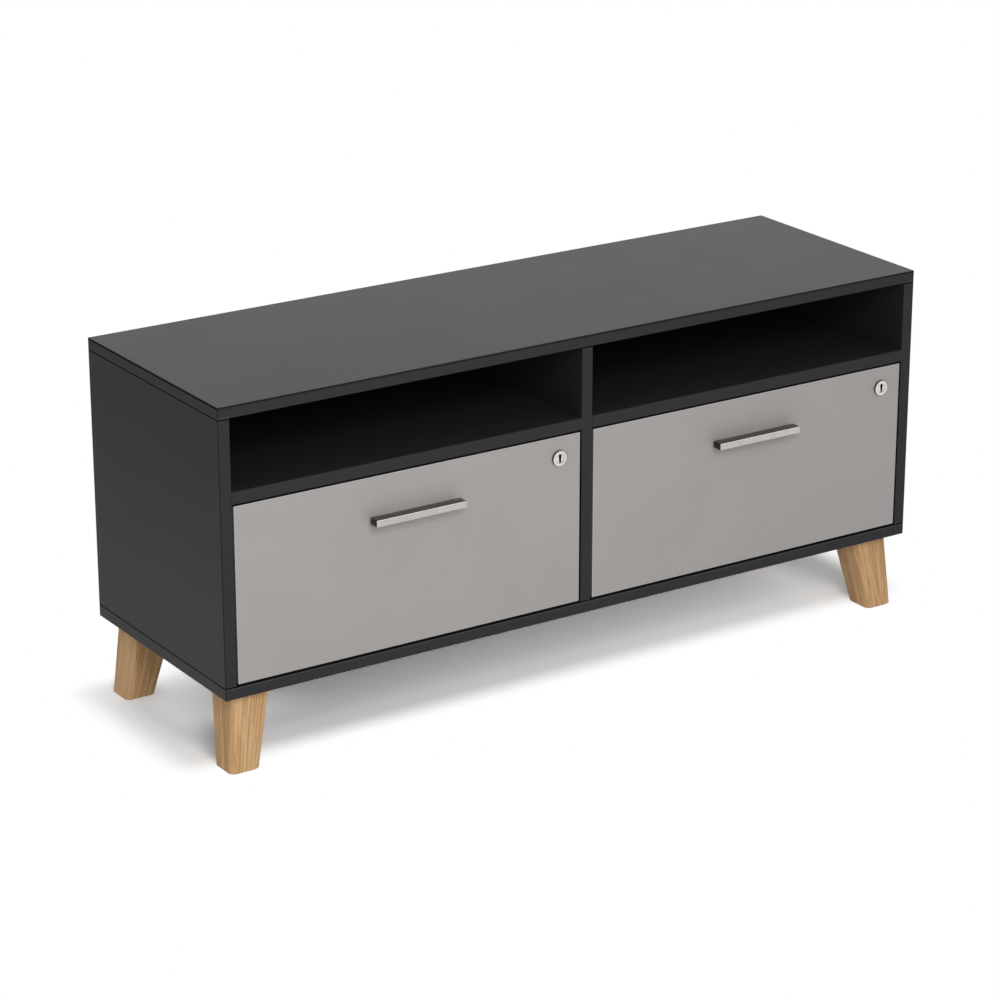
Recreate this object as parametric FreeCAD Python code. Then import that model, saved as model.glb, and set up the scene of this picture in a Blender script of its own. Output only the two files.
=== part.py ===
import FreeCAD, Part
import os

# Low office credenza: two open bays over two lockable drawers, on four splayed legs.
# Millimetres, +Z up, front towards -Y, origin on the floor under the middle of the whole.

# Cabinet body
cabinet_width = 1200.0
cabinet_depth = 380.0
body_height = 425.0
board = 18.0
open_bay_height = 105.0
edge_ease = 1.0
fit_gap = 0.1

# Back panel in its groove
back_thickness = 5.0
back_inset = 12.0
groove_depth = 7.0
groove_relief = 0.5

# Board joints, placed by their distance from the front edge
joint_front_depth = 60.0
joint_rear_inset = 80.0
joint_pitch = 32.0
joint_wall = 1.0
dowel_radius = 4.0
dowel_length = 29.0
dowel_relief = 0.5
dowel_chamfer = 0.8
cam_radius = 7.5
cam_setback = 24.0
cam_floor = 1.0
cam_thread_radius = 2.5
cam_stem_radius = 3.0
cam_neck_radius = 1.8
cam_head_radius = 3.2
cam_head_length = 3.0
cover_radius = 8.8
cover_height = 1.0
cover_ease = 0.4

# Screws
screw_radius = 1.75
screw_head_radius = 3.5
screw_head_height = 2.0
screw_head = (screw_head_radius, screw_head_height)
machine_screw_radius = 2.0
machine_screw_head_radius = 4.0
machine_screw_head_height = 2.4
machine_head = (machine_screw_head_radius, machine_screw_head_height)
recess_arm_share = 0.55
recess_width_share = 0.22
recess_depth_share = 0.5
back_screw_length = 20.0
back_screw_spacing = 160.0
back_screw_margin = 45.0
screw_cover = 6.0

# Legs and their fixings
leg_height = 118.0
leg_top_side = 63.0
leg_foot_side = 48.0
leg_inset = 19.0
leg_lean = 17.0
leg_corner_radius = 9.0
leg_foot_chamfer = 1.5
leg_bolt_radius = 4.0
leg_bolt_head_radius = 8.0
leg_bolt_head_height = 4.0
leg_insert_radius = 6.0
leg_insert_length = 20.0
leg_hole_relief = 6.0
leg_dowel_offset = 15.0
leg_dowel_base_depth = 10.0

# Drawer box
front_gap = 3.0
front_ease = 0.8
box_thickness = 12.0
box_rear_gap = 25.0
box_headroom = 42.0
box_lift = 14.0
bottom_thickness = 6.0
bottom_raise = 10.0
bottom_groove_depth = 6.0
box_dowel_radius = 3.0
box_dowel_length = 24.0
box_dowel_front_depth = 10.0
box_joint_margin = 30.0
box_screw_length = 30.0
bottom_screw_spacing = 128.0

# Ball runners: three nested steel channels with a row of balls above and below
runner_thickness = 12.7
runner_height = 45.0
runner_steel = 1.2
runner_start = 2.0
runner_rear_gap = 18.0
runner_centre_height = 78.0
runner_screw_inset = 35.0
runner_lip = 1.5
runner_mouth_gap = 1.5
runner_lip_step = 0.5
ball_radius = 1.75
ball_gap = 0.3
ball_lip_gap = 0.65
ball_count = 6
ball_pitch = 20.0
cage_steel = 0.6
cage_margin = 10.0
cage_gap = 0.6
cage_lip_gap = 0.2
cabinet_screw_radius = 3.0
runner_screw_length = 11.0

# Handle
handle_length = 148.0
handle_height = 10.0
handle_depth = 18.0
handle_standoff = 8.0
handle_drop = 60.0
handle_ease = 0.5
handle_post_radius = 3.0
handle_post_drop = 1.2
handle_post_spacing = 128.0
handle_screw_tip_gap = 2.0

# Lock and its strike
lock_drop = 32.0
lock_inset = 37.0
lock_ring_radius = 11.0
lock_ring_height = 4.0
lock_ring_ease = 1.2
lock_barrel_radius = 9.0
lock_bore_radius = 7.0
lock_running_gap = 0.08
lock_face_recess = 0.5
lock_nut_across = 22.0
lock_nut_thickness = 4.0
keyway_width = 2.2
keyway_height = 12.5
keyway_depth = 12.0
keyway_head_width = 3.6
keyway_head_height = 6.5
tang_side = 7.0
tang_shoulder = 0.6
cam_plate_thickness = 2.5
cam_plate_width = 12.0
cam_plate_hub_radius = 7.5
cam_plate_tip_radius = 2.0
cam_tip_gap = 2.5
cam_screw_length = 8.0
strike_thickness = 2.0
strike_width = 30.0
strike_drop = 14.0
strike_foot = 20.0
strike_front_gap = 4.0
strike_rear_gap = 2.0
strike_screw_spacing = 18.0

# Levels and planes that follow from the sizes
handle_reach = handle_standoff + handle_depth
front_y = handle_reach - (cabinet_depth + handle_reach) / 2
rear_y = front_y + cabinet_depth
half_width = cabinet_width / 2
base_top = leg_height + board
body_top = leg_height + body_height
top_underside = body_top - board
shelf_top = top_underside - open_bay_height
shelf_underside = shelf_top - board
back_front_y = rear_y - back_inset - back_thickness
joint_rear_depth = cabinet_depth - joint_rear_inset
dowel_face_depth = board / 2 - joint_wall
cam_thread_length = board / 2 - joint_wall
leg_bolt_length = board + leg_insert_length
bays = {"left": (-half_width + board, -board / 2), "right": (board / 2, half_width - board)}

# Levels inside a drawer
front_low = base_top + front_gap
front_high = shelf_underside - front_gap
box_low = base_top + box_lift
box_high = shelf_underside - box_headroom
bottom_low = box_low + bottom_raise
bottom_high = bottom_low + bottom_thickness
front_rear_y = front_y + board
box_rear_y = back_front_y - box_rear_gap
runner_z = box_low + runner_centre_height
runner_front_y = front_rear_y + runner_start
runner_rear_y = box_rear_y - runner_rear_gap
handle_z = front_high - handle_drop
lock_z = front_high - lock_drop
strike_y = front_rear_y + strike_front_gap
lock_barrel_rear_y = strike_y + strike_thickness + strike_rear_gap
cam_plate_y = lock_barrel_rear_y + tang_shoulder
cam_plate_length = shelf_underside - strike_thickness - cam_tip_gap - lock_z
handle_screw_length = board + handle_standoff - handle_screw_tip_gap
strike_screw_length = strike_thickness + board - screw_cover
cabinet_screw_length = runner_steel + board / 2 - joint_wall

# Half heights of the runner's nested channels and of its two rows of balls
channel_step = runner_steel + 2 * (ball_radius + ball_gap)
outer_half = runner_height / 2
middle_half = outer_half - channel_step
inner_half = middle_half - channel_step
outer_row = outer_half - runner_steel - ball_gap - ball_radius
inner_row = middle_half - runner_steel - ball_gap - ball_radius

# Distances from the wall of the runner's channels, cages and balls
outer_cage_start = runner_steel + cage_gap
middle_start = outer_cage_start + cage_steel + cage_gap
inner_cage_start = middle_start + runner_steel + cage_gap
inner_start = inner_cage_start + cage_steel + cage_gap
middle_reach = runner_thickness - runner_mouth_gap
outer_reach = middle_reach - runner_lip_step
outer_cage_reach = outer_reach - runner_steel - cage_lip_gap
inner_cage_reach = middle_reach - runner_steel - cage_lip_gap
outer_ball_offset = outer_reach - runner_steel - ball_lip_gap - ball_radius
inner_ball_offset = middle_reach - runner_steel - ball_lip_gap - ball_radius

X = FreeCAD.Vector(1, 0, 0)
Y = FreeCAD.Vector(0, 1, 0)
Z = FreeCAD.Vector(0, 0, 1)


def block(xs, ys, zs):
    """Box between two limits along each axis."""
    corner = FreeCAD.Vector(min(xs), min(ys), min(zs))
    return Part.makeBox(max(xs) - min(xs), max(ys) - min(ys), max(zs) - min(zs), corner)


def about(middle, size):
    """Limits of a size centred on a place."""
    return (middle - size / 2, middle + size / 2)


def placed(shape, point, direction):
    """Shape made along +Z from the origin, moved to a point and turned to a direction."""
    shape.Placement = FreeCAD.Placement(point, FreeCAD.Rotation(Z, direction))
    return shape


def machined(shape, tools):
    """Shape with every tool that reaches it cut away."""
    near = [tool for tool in tools if shape.BoundBox.intersect(tool.BoundBox)]
    return shape.cut(near) if near else shape


def eased(shape, axes, radius=edge_ease, front_only=False):
    """Board whose edges along the named axes are rounded, at the front alone if asked."""
    chosen = []
    for edge in shape.Edges:
        run = edge.Vertexes[1].Point - edge.Vertexes[0].Point
        reach = {"x": abs(run.x), "y": abs(run.y), "z": abs(run.z)}
        along = max(reach, key=reach.get)
        at_front = edge.CenterOfMass.y < shape.BoundBox.YMin + radius
        if along in axes and (at_front or not front_only):
            chosen.append(edge)
    return shape.makeFillet(radius, chosen)


def cross_recess(head_radius, face_z):
    """Cross-shaped pocket that opens towards -Z at the given height."""
    arm = 2 * head_radius * recess_arm_share
    width = 2 * head_radius * recess_width_share
    deep = (face_z, face_z + head_radius * recess_depth_share)
    return block(about(0, arm), about(0, width), deep).fuse(block(about(0, width), about(0, arm), deep))


def pan_screw(point, direction, radius, length, head_radius, head_height):
    """Screw with a flat-based head that sits on the surface at the point."""
    head = Part.makeCylinder(head_radius, head_height, FreeCAD.Vector(0, 0, -head_height))
    rim = [edge for edge in head.Edges if edge.Closed and edge.CenterOfMass.z < -head_height / 2]
    head = head.makeFillet(head_height / 2, rim)
    solid = head.fuse(Part.makeCylinder(radius, length)).cut(cross_recess(head_radius, -head_height))
    return placed(solid, point, direction)


def sunk_screw(point, direction, radius, length, head_radius, head_height):
    """Screw with a conical head whose face is flush with the surface at the point."""
    head = Part.makeCone(head_radius, radius, head_height)
    solid = head.fuse(Part.makeCylinder(radius, length)).cut(cross_recess(head_radius, 0))
    return placed(solid, point, direction)


def plain_hole(point, direction, radius, length):
    """Drilling that a screw's shank or a dowel fits with a small gap."""
    return placed(Part.makeCylinder(radius + fit_gap, length + fit_gap), point, direction)


def sunk_hole(point, direction, radius, length, head_radius, head_height):
    """Drilling with a conical mouth for a sunk head."""
    cone = Part.makeCone(head_radius + fit_gap, radius + fit_gap, head_height)
    return placed(cone.fuse(Part.makeCylinder(radius + fit_gap, length + fit_gap)), point, direction)


def dowel(point, direction, radius, length):
    """Wooden pin with chamfered ends."""
    pin = Part.makeCylinder(radius, length)
    rims = [edge for edge in pin.Edges if edge.Closed]
    return placed(pin.makeChamfer(dowel_chamfer, rims), point, direction)


def dowel_joint(point, into_end):
    """Dowel across a joint face, from a board's face into another's end, with its drilling."""
    end_depth = dowel_length - dowel_face_depth + 2 * dowel_relief
    face_end = point - into_end * dowel_face_depth
    pin = dowel(face_end + into_end * dowel_relief, into_end, dowel_radius, dowel_length)
    drilling = plain_hole(face_end, into_end, dowel_radius, dowel_face_depth + end_depth)
    return pin, drilling


def joint_frame(point, along, inward):
    """Placement whose X runs along the bolt and whose Z runs in from the cam's mouth."""
    side = inward.cross(along)
    matrix = FreeCAD.Matrix(along.x, side.x, inward.x, point.x, along.y, side.y, inward.y, point.y,
                            along.z, side.z, inward.z, point.z, 0, 0, 0, 1)
    return FreeCAD.Placement(matrix)


def cam_bolt():
    """Bolt with a thread, a stem, a neck and a round head, along X at half a board's depth."""
    middle = FreeCAD.Vector(0, 0, board / 2)
    head_start = cam_setback - cam_head_length / 2
    stem_length = cam_setback - cam_radius
    thread = Part.makeCylinder(cam_thread_radius, cam_thread_length, middle - X * cam_thread_length, X)
    stem = Part.makeCylinder(cam_stem_radius, stem_length, middle, X)
    neck = Part.makeCylinder(cam_neck_radius, head_start, middle, X)
    head = Part.makeCylinder(cam_head_radius, cam_head_length, middle + X * head_start, X)
    return thread.fuse([stem, neck, head])


def cam_disc():
    """Round cam in its pocket, channelled for the bolt's head and crossed for a driver."""
    height = board / 2 + cam_head_radius + cam_floor
    channel_end = cam_setback + cam_head_length / 2 + fit_gap
    disc = Part.makeCylinder(cam_radius, height, X * cam_setback)
    middle = FreeCAD.Vector(0, 0, board / 2)
    channel = Part.makeCylinder(cam_head_radius + fit_gap, channel_end, middle, X)
    recess = cross_recess(cam_radius, 0)
    recess.translate(X * cam_setback)
    return disc.cut([channel, recess])


def cam_drillings():
    """Thread hole, stem bore and disc pocket of one cam joint."""
    middle = FreeCAD.Vector(0, 0, board / 2)
    height = board / 2 + cam_head_radius + cam_floor
    thread = Part.makeCylinder(cam_thread_radius + fit_gap, cam_thread_length + fit_gap, middle, -X)
    bore = Part.makeCylinder(cam_stem_radius + fit_gap, cam_setback, middle, X)
    pocket = Part.makeCylinder(cam_radius + fit_gap, height + fit_gap, X * cam_setback)
    return [thread, bore, pocket]


def cam_cover():
    """Thin cap that lies on the board over a cam's pocket."""
    cap = Part.makeCylinder(cover_radius, cover_height, X * cam_setback, -Z)
    rim = [edge for edge in cap.Edges if edge.Closed and edge.CenterOfMass.z < -cover_height / 2]
    return cap.makeFillet(cover_ease, rim)


def joint_faces():
    """Every board-to-board joint: place without its depth, direction into the end, mouth direction."""
    faces = []
    uprights = [(-half_width + board, -X), (half_width - board, X), (board / 2, -X)]
    for mouth_x, inward in uprights:
        faces.append((FreeCAD.Vector(mouth_x, 0, top_underside), -Z, inward))
        faces.append((FreeCAD.Vector(mouth_x, 0, base_top), Z, inward))
    for low_x, high_x in bays.values():
        faces.append((FreeCAD.Vector(low_x, 0, shelf_underside), X, Z))
        faces.append((FreeCAD.Vector(high_x, 0, shelf_underside), -X, Z))
    return faces


def board_joints():
    """Dowels, cam bolts, cam discs, covers and drillings of all the board joints."""
    made = {"dowels": [], "bolts": [], "discs": [], "covers": [], "drillings": []}
    dowel_depths = (joint_front_depth + joint_pitch, joint_rear_depth - joint_pitch)
    for place, along, inward in joint_faces():
        for depth in (joint_front_depth, joint_rear_depth):
            seat = joint_frame(place + Y * (front_y + depth), along, inward)
            for name, piece in (("bolts", cam_bolt()), ("discs", cam_disc())):
                piece.Placement = seat
                made[name].append(piece)
            for tool in cam_drillings():
                tool.Placement = seat.multiply(tool.Placement)
                made["drillings"].append(tool)
            if along == -Z:
                cap = cam_cover()
                cap.Placement = seat
                made["covers"].append(cap)
        for depth in dowel_depths:
            middle = place + inward * (board / 2) + Y * (front_y + depth)
            pin, drilling = dowel_joint(middle, along)
            made["dowels"].append(pin)
            made["drillings"].append(drilling)
    return made


def leg_section(leg_x, leg_y, height, trim):
    """Rounded square across a leg at a height, moved outwards as the leg leans."""
    rise_share = height / leg_height
    side = leg_foot_side + (leg_top_side - leg_foot_side) * rise_share - 2 * trim
    lean = leg_lean * (1 - rise_share)
    out_x = leg_x + lean * (1 if leg_x > 0 else -1)
    out_y = leg_y + lean * (1 if leg_y > (front_y + rear_y) / 2 else -1)
    inner = side / 2 - leg_corner_radius
    edges = []
    turns = ((1, 1), (-1, 1), (-1, -1), (1, -1))
    for turn, (sign_x, sign_y) in enumerate(turns):
        centre = FreeCAD.Vector(out_x + sign_x * inner, out_y + sign_y * inner, height)
        corner = Part.makeCircle(leg_corner_radius, centre, Z, 90 * turn, 90 * (turn + 1))
        if edges:
            edges.append(Part.makeLine(edges[-1].Vertexes[-1].Point, corner.Vertexes[0].Point))
        edges.append(corner)
    edges.append(Part.makeLine(edges[-1].Vertexes[-1].Point, edges[0].Vertexes[0].Point))
    return Part.Wire(edges)


def leg_places():
    """Middle of each leg's top, by name."""
    reach_x = half_width - leg_inset - leg_top_side / 2
    near_y = front_y + leg_inset + leg_top_side / 2
    far_y = rear_y - leg_inset - leg_top_side / 2
    return {"leg_front_left": (-reach_x, near_y), "leg_front_right": (reach_x, near_y),
            "leg_rear_left": (-reach_x, far_y), "leg_rear_right": (reach_x, far_y)}


def leg_fixings():
    """Bolts from inside the base, threaded inserts and dowels of the legs, with drillings."""
    made = {"bolts": [], "inserts": [], "dowels": [], "drillings": []}
    for leg_x, leg_y in leg_places().values():
        top = FreeCAD.Vector(leg_x, leg_y, leg_height)
        surface = top + Z * board
        sizes = (leg_bolt_radius, leg_bolt_length, leg_bolt_head_radius, leg_bolt_head_height)
        made["bolts"].append(sunk_screw(surface, -Z, *sizes))
        made["drillings"].append(sunk_hole(surface, -Z, *sizes))
        sleeve = placed(Part.makeCylinder(leg_insert_radius, leg_insert_length), top, -Z)
        thread = plain_hole(top, -Z, leg_bolt_radius, leg_insert_length)
        made["inserts"].append(sleeve.cut(thread))
        made["drillings"].append(plain_hole(top, -Z, leg_insert_radius, leg_insert_length))
        made["drillings"].append(plain_hole(top, -Z, leg_bolt_radius, leg_insert_length + leg_hole_relief))
        toward_x = leg_dowel_offset * (-1 if leg_x > 0 else 1)
        toward_y = leg_dowel_offset * (-1 if leg_y > (front_y + rear_y) / 2 else 1)
        pin_top = top + FreeCAD.Vector(toward_x, toward_y, leg_dowel_base_depth)
        made["dowels"].append(dowel(pin_top - Z * dowel_relief, -Z, dowel_radius, dowel_length))
        made["drillings"].append(plain_hole(pin_top, -Z, dowel_radius, dowel_length + 2 * dowel_relief))
    return made


def leg(place, drillings):
    """Tapered oak leg that leans outwards, with a small chamfer round its foot."""
    heights = ((leg_height, 0), (leg_foot_chamfer, 0), (0, leg_foot_chamfer))
    sections = [leg_section(place[0], place[1], height, trim) for height, trim in heights]
    return machined(Part.makeLoft(sections, True, True), drillings)


def back_groove():
    """Space that the grooves of the top, base and side panels leave for the back panel."""
    xs = (-half_width + board - groove_depth, half_width - board + groove_depth)
    ys = (back_front_y - fit_gap, back_front_y + back_thickness + fit_gap)
    zs = (base_top - groove_depth, top_underside + groove_depth)
    return block(xs, ys, zs)


def back_screw_points():
    """Places on the back panel's rear face that lie behind the divider and the shelves."""
    y = back_front_y + back_thickness
    points = []
    low = base_top + back_screw_margin
    high = top_underside - back_screw_margin
    rows = max(2, round((high - low) / back_screw_spacing) + 1)
    for row in range(rows):
        points.append(FreeCAD.Vector(0, y, low + (high - low) * row / (rows - 1)))
    for low_x, high_x in bays.values():
        left = low_x + back_screw_margin
        right = high_x - back_screw_margin
        columns = max(2, round((right - left) / back_screw_spacing) + 1)
        for column in range(columns):
            x = left + (right - left) * column / (columns - 1)
            points.append(FreeCAD.Vector(x, y, shelf_underside + board / 2))
    return points


def back_panel(drillings):
    """Thin back held in the grooves on all four sides."""
    reach = groove_depth - groove_relief
    xs = (-half_width + board - reach, half_width - board + reach)
    ys = (back_front_y, back_front_y + back_thickness)
    return machined(block(xs, ys, (base_top - reach, top_underside + reach)), drillings)


def carcass_boards(drillings):
    """Top, base, sides, divider and shelves, with their grooves and drillings."""
    full_x = (-half_width, half_width)
    full_y = (front_y, rear_y)
    short_y = (front_y, back_front_y)
    upright_z = (base_top, top_underside)
    grooved = drillings + [back_groove()]
    divider = eased(block(about(0, board), short_y, upright_z), "z", front_only=True)
    boards = {
        "top_panel": machined(eased(block(full_x, full_y, (top_underside, body_top)), "xyz"), grooved),
        "base_panel": machined(eased(block(full_x, full_y, (leg_height, base_top)), "xyz"), grooved),
        "centre_divider": machined(divider, drillings)}
    for side, xs in (("left", (-half_width, bays["left"][0])), ("right", (bays["right"][1], half_width))):
        panel = eased(block(xs, full_y, upright_z), "z")
        boards[side + "_side_panel"] = machined(panel, grooved)
    for side, xs in bays.items():
        shelf = eased(block(xs, short_y, (shelf_underside, shelf_top)), "x", front_only=True)
        boards[side + "_shelf"] = machined(shelf, drillings)
    return boards


def runner_sides():
    """The four walls that carry a runner: bay, wall place and direction towards the drawer."""
    return [(side, wall_x, sign) for side, xs in bays.items() for wall_x, sign in zip(xs, (1, -1))]


def runner_piece(wall_x, sign, reach, ys, zs):
    """Box in a runner, by its distances from the wall and its heights about the runner's middle."""
    xs = (wall_x + sign * reach[0], wall_x + sign * reach[1])
    return block(xs, ys, (runner_z + zs[0], runner_z + zs[1]))


def runner_channel(wall_x, sign, start, reach, half):
    """Steel channel open towards the drawer, its two flanges ending in a lip."""
    ys = (runner_front_y, runner_rear_y)
    pieces = [runner_piece(wall_x, sign, (start, start + runner_steel), ys, (-half, half))]
    for up in (1, -1):
        inside = half - runner_steel
        pieces.append(runner_piece(wall_x, sign, (start, reach), ys, (up * inside, up * half)))
        hang = (up * (inside - runner_lip), up * inside)
        pieces.append(runner_piece(wall_x, sign, (reach - runner_steel, reach), ys, hang))
    return pieces[0].fuse(pieces[1:]).removeSplitter()


def drawer_channel(wall_x, sign):
    """Steel channel on the drawer's side, open towards the cabinet's wall."""
    ys = (runner_front_y, runner_rear_y)
    web_start = runner_thickness - runner_steel
    pieces = [runner_piece(wall_x, sign, (web_start, runner_thickness), ys, (-inner_half, inner_half))]
    for up in (1, -1):
        flange = (up * (inner_half - runner_steel), up * inner_half)
        pieces.append(runner_piece(wall_x, sign, (inner_start, runner_thickness), ys, flange))
    return pieces[0].fuse(pieces[1:]).removeSplitter()


def ball_cage(wall_x, sign, start, reach, row, ball_offset):
    """Bent strip that holds a row of balls above and a row below, with the balls."""
    half_length = (ball_count - 1) * ball_pitch / 2 + cage_margin
    middle_y = (runner_front_y + runner_rear_y) / 2
    ys = (middle_y - half_length, middle_y + half_length)
    half = row + cage_steel / 2
    strips = [runner_piece(wall_x, sign, (start, start + cage_steel), ys, (-half, half))]
    balls = []
    holes = []
    for up in (1, -1):
        ear = (up * (half - cage_steel), up * half)
        strips.append(runner_piece(wall_x, sign, (start, reach), ys, ear))
        for index in range(ball_count):
            y = middle_y + (index - (ball_count - 1) / 2) * ball_pitch
            centre = FreeCAD.Vector(wall_x + sign * ball_offset, y, runner_z + up * row)
            balls.append(Part.makeSphere(ball_radius, centre))
            holes.append(Part.makeCylinder(ball_radius + fit_gap, 2 * cage_steel, centre - Z * cage_steel))
    cage = strips[0].fuse(strips[1:]).removeSplitter().cut(holes)
    return [cage] + balls


def runner_screw_rows():
    """Distances along Y at which both fixed channels are screwed on."""
    return (runner_front_y + runner_screw_inset, runner_rear_y - runner_screw_inset)


def cabinet_screws(wall_x, sign):
    """Screws from inside the cabinet's channel into its wall, with their drillings."""
    screws = []
    drillings = []
    for y in runner_screw_rows():
        point = FreeCAD.Vector(wall_x + sign * runner_steel, y, runner_z)
        head_radius = cabinet_screw_radius + runner_steel
        sizes = (cabinet_screw_radius, cabinet_screw_length, head_radius, runner_steel)
        screws.append(sunk_screw(point, -X * sign, *sizes))
        drillings.append(sunk_hole(point, -X * sign, *sizes))
    return screws, drillings


def drawer_runner_screws(wall_x, sign):
    """Screws from inside the drawer's channel into the box side, with their drillings."""
    screws = []
    drillings = []
    for y in runner_screw_rows():
        point = FreeCAD.Vector(wall_x + sign * (runner_thickness - runner_steel), y, runner_z)
        sizes = (screw_radius, runner_screw_length, screw_radius + runner_steel, runner_steel)
        screws.append(sunk_screw(point, X * sign, *sizes))
        drillings.append(sunk_hole(point, X * sign, *sizes))
    return screws, drillings


def box_limits(side):
    """Outer faces of a drawer's box sides."""
    low_x, high_x = bays[side]
    return (low_x + runner_thickness, high_x - runner_thickness)


def box_dowels(side):
    """Dowels that join the box sides to the drawer front, with their drillings."""
    pins = []
    drillings = []
    low_x, high_x = box_limits(side)
    heights = (box_low + box_joint_margin, (box_low + box_high) / 2, box_high - box_joint_margin)
    for x in (low_x + box_thickness / 2, high_x - box_thickness / 2):
        for z in heights:
            start = FreeCAD.Vector(x, front_rear_y - box_dowel_front_depth, z)
            pins.append(dowel(start + Y * dowel_relief, Y, box_dowel_radius, box_dowel_length))
            drillings.append(plain_hole(start, Y, box_dowel_radius, box_dowel_length + 2 * dowel_relief))
    return pins, drillings


def box_screws(side):
    """Sunk screws through the box sides and the bottom into the box back, with drillings."""
    low_x, high_x = box_limits(side)
    back_y = box_rear_y - box_thickness / 2
    spots = []
    for z in (box_low + box_joint_margin, (box_low + box_high) / 2, box_high - box_joint_margin):
        spots.append((FreeCAD.Vector(low_x, back_y, z), X))
        spots.append((FreeCAD.Vector(high_x, back_y, z), -X))
    middle_x = (low_x + high_x) / 2
    for x in (middle_x - bottom_screw_spacing, middle_x, middle_x + bottom_screw_spacing):
        spots.append((FreeCAD.Vector(x, back_y, bottom_low), Z))
    sizes = (screw_radius, box_screw_length, *screw_head)
    screws = [sunk_screw(point, direction, *sizes) for point, direction in spots]
    drillings = [sunk_hole(point, direction, *sizes) for point, direction in spots]
    return screws, drillings


def bottom_panel_space(side, reach):
    """Space of the drawer bottom when it reaches a given way into its grooves."""
    low_x, high_x = box_limits(side)
    xs = (low_x + box_thickness - reach, high_x - box_thickness + reach)
    return block(xs, (front_rear_y - reach, box_rear_y), (bottom_low, bottom_high))


def handle_screw_points(side):
    """Places behind the drawer front where the handle's screws enter."""
    middle_x = sum(bays[side]) / 2
    post_z = handle_z - handle_post_drop
    return [FreeCAD.Vector(x, front_rear_y, post_z) for x in about(middle_x, handle_post_spacing)]


def handle(side):
    """Square bar with eased edges on two round posts that are bored for screws."""
    middle_x = sum(bays[side]) / 2
    ys = (front_y - handle_reach, front_y - handle_standoff)
    bar = block(about(middle_x, handle_length), ys, about(handle_z, handle_height))
    bar = bar.makeFillet(handle_ease, bar.Edges)
    posts = []
    bores = []
    for point in handle_screw_points(side):
        post_end = FreeCAD.Vector(point.x, front_y, point.z)
        posts.append(placed(Part.makeCylinder(handle_post_radius, handle_standoff), post_end, -Y))
        bores.append(plain_hole(post_end, -Y, machine_screw_radius, handle_standoff))
    return bar.fuse(posts).cut(bores)


def handle_screws(side):
    """Screws from inside the drawer into the handle's posts, with their drillings."""
    sizes = (machine_screw_radius, handle_screw_length, *machine_head)
    points = handle_screw_points(side)
    screws = [pan_screw(point, -Y, *sizes) for point in points]
    drillings = [plain_hole(point, -Y, machine_screw_radius, board) for point in points]
    return screws, drillings


def lock_centre(side):
    """Point where the lock's axis meets the drawer front's face."""
    return FreeCAD.Vector(bays[side][1] - front_gap - lock_inset, front_y, lock_z)


def lock_barrel(side):
    """Flanged barrel that goes through the drawer front and carries the plug."""
    centre = lock_centre(side)
    ring = Part.makeCylinder(lock_ring_radius, lock_ring_height, centre, -Y)
    middle_y = front_y - lock_ring_height / 2
    rim = [edge for edge in ring.Edges if edge.Closed and edge.CenterOfMass.y < middle_y]
    ring = ring.makeFillet(lock_ring_ease, rim)
    length = lock_barrel_rear_y - front_y
    barrel = ring.fuse(Part.makeCylinder(lock_barrel_radius, length, centre, Y))
    bore_start = centre - Y * lock_ring_height
    return barrel.cut(Part.makeCylinder(lock_bore_radius, length + lock_ring_height, bore_start, Y))


def lock_nut(side):
    """Hexagonal nut that clamps the barrel from behind, two of its flats upright."""
    centre = lock_centre(side)
    points = []
    for turn in range(7):
        spoke = FreeCAD.Rotation(Y, 60 * turn).multVec(Z * (lock_nut_across / 3 ** 0.5))
        points.append(FreeCAD.Vector(centre.x, front_rear_y, centre.z) + spoke)
    prism = Part.Face(Part.makePolygon(points)).extrude(Y * lock_nut_thickness)
    return prism.cut(plain_hole(centre, Y, lock_barrel_radius, board + lock_nut_thickness))


def lock_plug(side):
    """Turning plug with an upright keyway, wider above, and a square tang for the cam."""
    centre = lock_centre(side)
    face_y = front_y - lock_ring_height + lock_face_recess
    start = FreeCAD.Vector(centre.x, face_y, centre.z)
    plug = Part.makeCylinder(lock_bore_radius - lock_running_gap, cam_plate_y - face_y, start, Y)
    tang_ys = (cam_plate_y - tang_shoulder, cam_plate_y + cam_plate_thickness)
    tang = block(about(centre.x, tang_side), tang_ys, about(centre.z, tang_side))
    keyway_ys = (face_y, face_y + keyway_depth)
    keyway_low, keyway_high = about(centre.z, keyway_height)
    keyway = block(about(centre.x, keyway_width), keyway_ys, (keyway_low, keyway_high))
    head_zs = (keyway_high - keyway_head_height, keyway_high)
    keyway_head = block(about(centre.x, keyway_head_width), keyway_ys, head_zs)
    tang_end = FreeCAD.Vector(centre.x, cam_plate_y + cam_plate_thickness, centre.z)
    bore = plain_hole(tang_end, -Y, machine_screw_radius, cam_screw_length)
    return plug.fuse(tang).cut([keyway, keyway_head, bore])


def lock_cam(side):
    """Flat arm on the plug's tang: it points sideways unlocked and upwards locked."""
    centre = lock_centre(side)
    ys = (cam_plate_y, cam_plate_y + cam_plate_thickness)
    arm = block((centre.x - cam_plate_length, centre.x), ys, about(centre.z, cam_plate_width))
    corners = [edge for edge in arm.Edges if edge.BoundBox.YLength > cam_plate_thickness / 2]
    tip = [edge for edge in corners if edge.CenterOfMass.x < centre.x - cam_plate_hub_radius]
    arm = arm.makeFillet(cam_plate_tip_radius, tip)
    hub_start = FreeCAD.Vector(centre.x, cam_plate_y, centre.z)
    hub = Part.makeCylinder(cam_plate_hub_radius, cam_plate_thickness, hub_start, Y)
    hole_side = tang_side + 2 * fit_gap
    hole = block(about(centre.x, hole_side), ys, about(centre.z, hole_side))
    return arm.fuse(hub).cut(hole)


def cam_screw(side):
    """Screw that holds the cam on the plug's tang."""
    centre = lock_centre(side)
    point = FreeCAD.Vector(centre.x, cam_plate_y + cam_plate_thickness, centre.z)
    sizes = (machine_screw_radius, cam_screw_length, *machine_head)
    return pan_screw(point, -Y, *sizes)


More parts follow.
